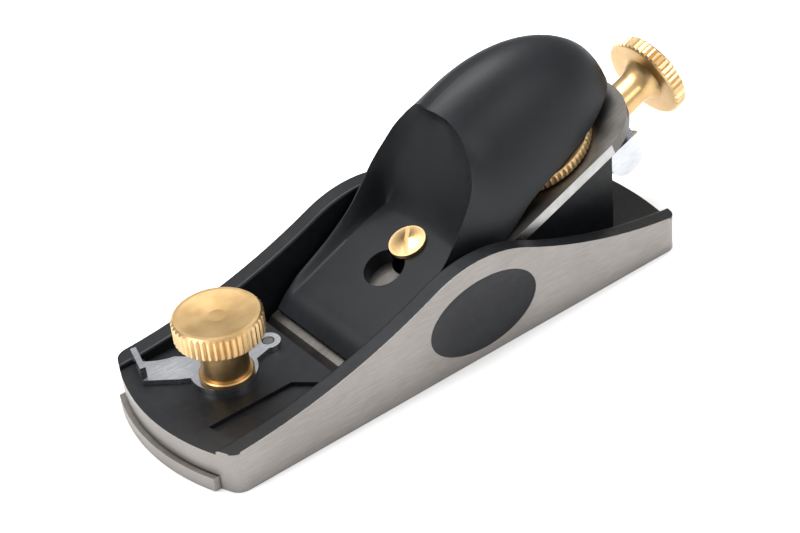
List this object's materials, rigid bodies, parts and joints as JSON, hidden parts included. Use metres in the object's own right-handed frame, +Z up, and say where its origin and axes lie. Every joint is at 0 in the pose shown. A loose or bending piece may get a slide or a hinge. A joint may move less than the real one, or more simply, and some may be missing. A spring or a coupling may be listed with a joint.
{
  "type": "low-angle block plane",
  "caption": "Cast-iron block plane with adjustable mouth, domed lever cap, brass knobs and a screw-fed, laterally adjusted blade.",
  "frame": {"origin": "middle of the sole face, half way across the body and 80.5 mm behind the rounded toe", "axes": "+X from toe to heel, +Z up off the sole, +Y across the body"},
  "size_m": [0.1778, 0.055, 0.0668],
  "materials": {
    "cast_body": "black enamel, sole and cheeks ground bright",
    "ground_iron": "surface ground",
    "bright_steel": "machined",
    "dark_steel": "blackened",
    "plated_steel": "bright plated stamping",
    "blade_steel": "heat-treated grey, ground edges",
    "black_enamel": "satin black enamel",
    "brass": "satin turned and knurled"
  },
  "bodies": {
    "root": {"body_casting": "cast_body", "eccentric_pivot_pin": "dark_steel", "lateral_pivot_screw": "bright_steel"},
    "toe_plate": {"toe_plate": "ground_iron", "toe_post": "bright_steel"},
    "toe_knob": {"toe_knob": "brass"},
    "eccentric_lever": {"eccentric_lever": "plated_steel"},
    "cap_screw": {"lever_cap_screw": "brass"},
    "lever_cap": {"lever_cap": "black_enamel", "cap_wheel_stud": "bright_steel"},
    "cap_wheel": {"cap_wheel": "brass"},
    "lateral_lever": {"lateral_lever": "plated_steel", "ear_bush": "bright_steel"},
    "depth_screw": {"depth_knob": "brass", "depth_rod": "bright_steel", "thrust_washer": "bright_steel", "rod_clip": "dark_steel"},
    "blade_set": {"blade": "blade_steel", "depth_slider": "dark_steel", "slider_tongue": "bright_steel"}
  },
  "joints": [
    {"name": "eccentric_swing", "type": "hinge", "parent": "root", "child": "eccentric_lever", "pos_m": [-0.0423, 0.0041, 0.0116], "axis": [0, 0, 1], "range_deg": [0, 18]},
    {"name": "toe_slide", "type": "slide", "parent": "root", "child": "toe_plate", "axis": [1, 0, 0], "range_m": [0, 0.002]},
    {"name": "toe_knob_turn", "type": "hinge", "parent": "toe_plate", "child": "toe_knob", "pos_m": [-0.0576, 0, 0.02], "axis": [0, 0, 1], "range_deg": [0, 360]},
    {"name": "cap_screw_turn", "type": "hinge", "parent": "root", "child": "cap_screw", "pos_m": [0.00465, 0, 0.0152], "axis": [-0.3502, 0, 0.9367], "range_deg": [-180, 720]},
    {"name": "cap_release", "type": "slide", "parent": "root", "child": "lever_cap", "axis": [0.9367, 0, 0.3502], "range_m": [0, 0.0092]},
    {"name": "wheel_turn", "type": "hinge", "parent": "lever_cap", "child": "cap_wheel", "pos_m": [0.04339, 0, 0.03609], "axis": [-0.3502, 0, 0.9367], "range_deg": [-90, 360]},
    {"name": "lateral_swing", "type": "hinge", "parent": "root", "child": "lateral_lever", "pos_m": [0.02375, 0, 0.00579], "axis": [-0.3502, 0, 0.9367], "range_deg": [-1.5, 1.5]},
    {"name": "depth_turn", "type": "hinge", "parent": "lateral_lever", "child": "depth_screw", "pos_m": [0.07945, 0, 0.03388], "axis": [0.9367, 0, 0.3502], "range_deg": [-1080, 288]},
    {"name": "blade_feed", "type": "slide", "parent": "lateral_lever", "child": "blade_set", "axis": [0.9367, 0, 0.3502], "range_m": [-0.0008, 0.003]}
  ],
  "couplings": [
    {"joint": "eccentric_swing", "follows": "toe_slide", "rad_per_m": 157.08},
    {"joint": "depth_turn", "follows": "blade_feed", "rad_per_m": -6283.2}
  ]
}
